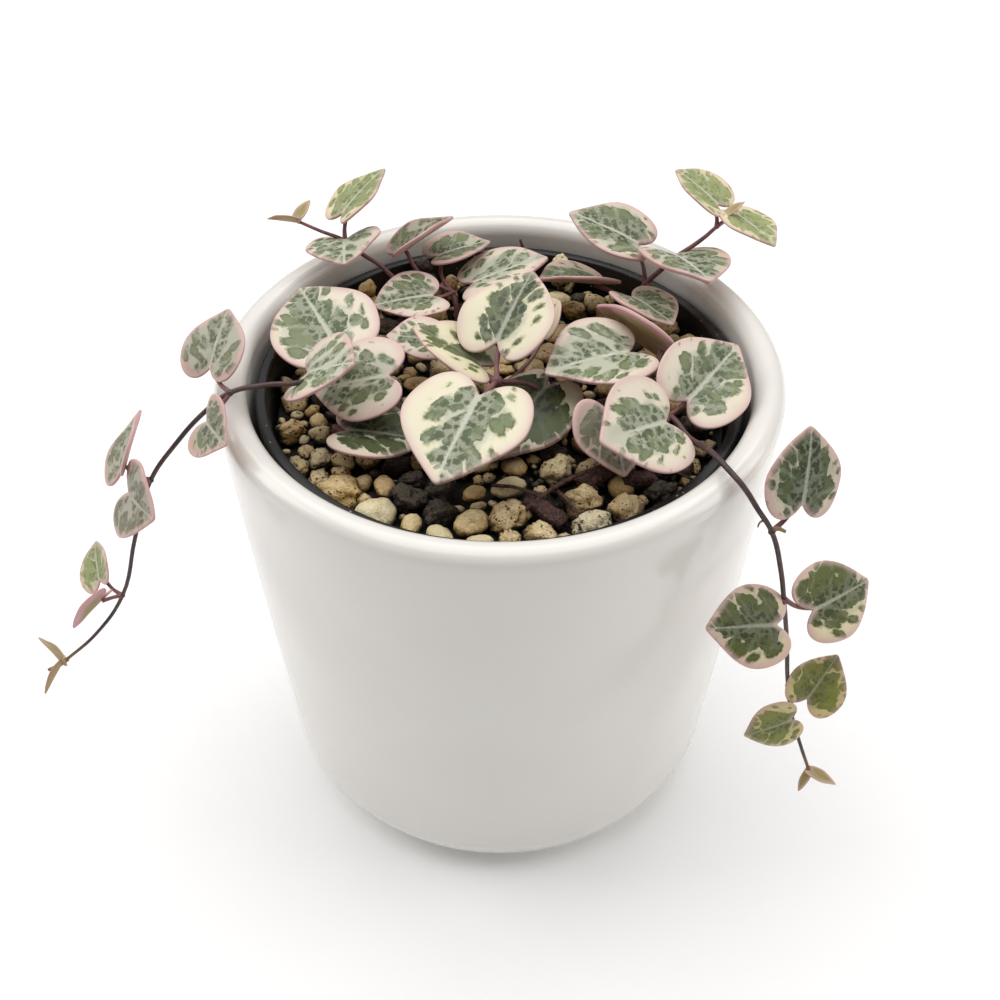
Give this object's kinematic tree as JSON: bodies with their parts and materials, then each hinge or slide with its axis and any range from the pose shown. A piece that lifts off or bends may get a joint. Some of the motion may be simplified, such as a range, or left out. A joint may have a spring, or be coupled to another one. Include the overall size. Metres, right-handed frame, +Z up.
{
  "type": "potted variegated string of hearts",
  "caption": "Trailing succulent plant with variegated heart-shaped leaves on thin stems, in a gritty mix in a black nursery pot inside a white glazed round pot.",
  "frame": {"origin": "centre of the cachepot's flat base, on the surface it stands on", "axes": "+Z up along the pot's axis; -Y is the side the plant is looked at from, with the longest vine hanging at +X and the other at -X"},
  "size_m": [0.1332, 0.09, 0.1031],
  "materials": {
    "ceramic": "white glaze, satin gloss",
    "nursery_plastic": "black, slightly dusty",
    "mix": "dark soil with tan pumice",
    "plant": "living leaves, sage green with cream and pink margins, satin"
  },
  "bodies": {
    "root": {"ceramic_pot": "ceramic", "nursery_pot": "nursery_plastic", "potting_mix": "mix", "vine_right": "plant", "vine_left": "plant", "vine_back_left": "plant", "vine_back_right": "plant", "shoot_front_left": "plant", "shoot_middle": "plant", "shoot_back_left": "plant", "shoot_back": "plant", "shoot_right": "plant"}
  },
  "joints": []
}
